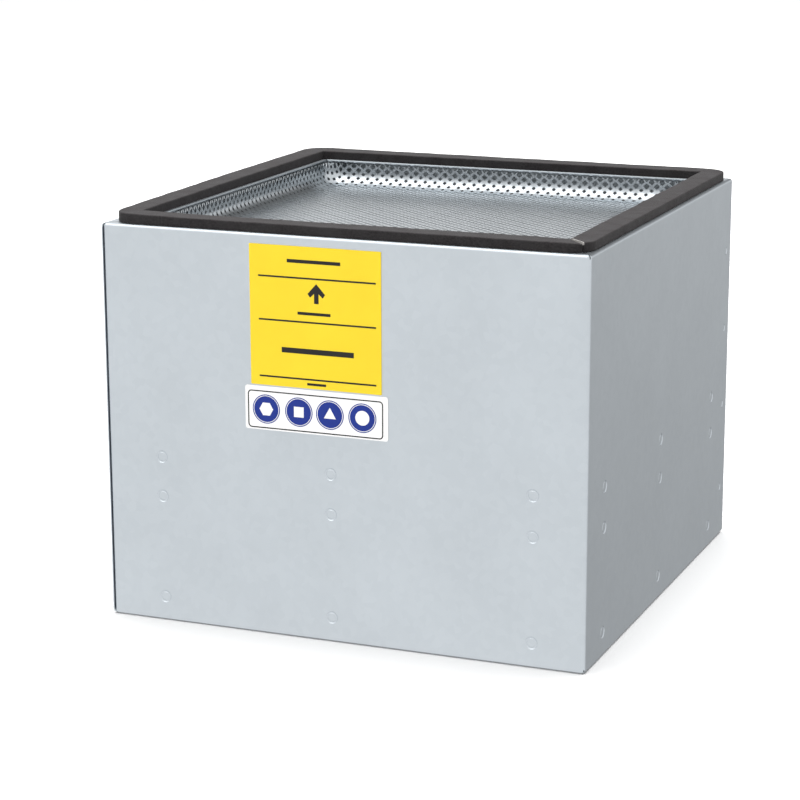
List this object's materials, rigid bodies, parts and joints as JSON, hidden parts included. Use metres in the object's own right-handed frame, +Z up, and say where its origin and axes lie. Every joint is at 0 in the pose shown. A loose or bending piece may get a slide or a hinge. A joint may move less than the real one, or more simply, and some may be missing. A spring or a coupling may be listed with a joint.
{
  "type": "solder fume extractor gas filter cartridge",
  "caption": "Square galvanised steel filter cartridge with a foam sealing strip round its top rim and a recessed expanded-metal outlet, holding a pleated guard filter and a carbon bed.",
  "frame": {"origin": "centre of the base: the middle of the overall box in X and Y, at the bottom flanges' underside", "axes": "+Z up, the way the air goes; the labelled front faces -Y; +X is to the right seen from the front"},
  "size_m": [0.38, 0.3834, 0.3105],
  "materials": {
    "galvanised_sheet": "satin zinc coating with faint mottling",
    "expanded_steel": "galvanised expanded mesh, satin",
    "rail_steel": "galvanised, dull",
    "frame_steel": "galvanised, satin",
    "gasket_foam": "matt closed-cell foam, slightly mottled on top",
    "pleat_media": "matt pleated fibre",
    "filter_felt": "needled fibre felt",
    "activated_carbon": "black granules",
    "yellow_label": "satin printed label with dark rules and an arrow",
    "white_label": "satin printed label with plain blue discs"
  },
  "bodies": {
    "root": {"bed_support_grid": "expanded_steel", "bottom_rail_back": "rail_steel", "bottom_rail_front": "rail_steel", "bottom_rail_left": "rail_steel", "bottom_rail_right": "rail_steel", "carbon_bed": "activated_carbon", "casing_back_left_panel": "galvanised_sheet", "casing_front_right_panel": "galvanised_sheet", "foam_gasket": "gasket_foam", "guard_filter_frame": "frame_steel", "guard_filter_gasket": "gasket_foam", "handling_label": "white_label", "inlet_grid": "expanded_steel", "lower_felt_pad": "filter_felt", "middle_rail_back": "rail_steel", "middle_rail_front": "rail_steel", "middle_rail_left": "rail_steel", "middle_rail_right": "rail_steel", "outlet_mesh_tray": "expanded_steel", "pleated_guard_media": "pleat_media", "rating_label": "yellow_label", "upper_felt_pad": "filter_felt"}
  },
  "joints": []
}
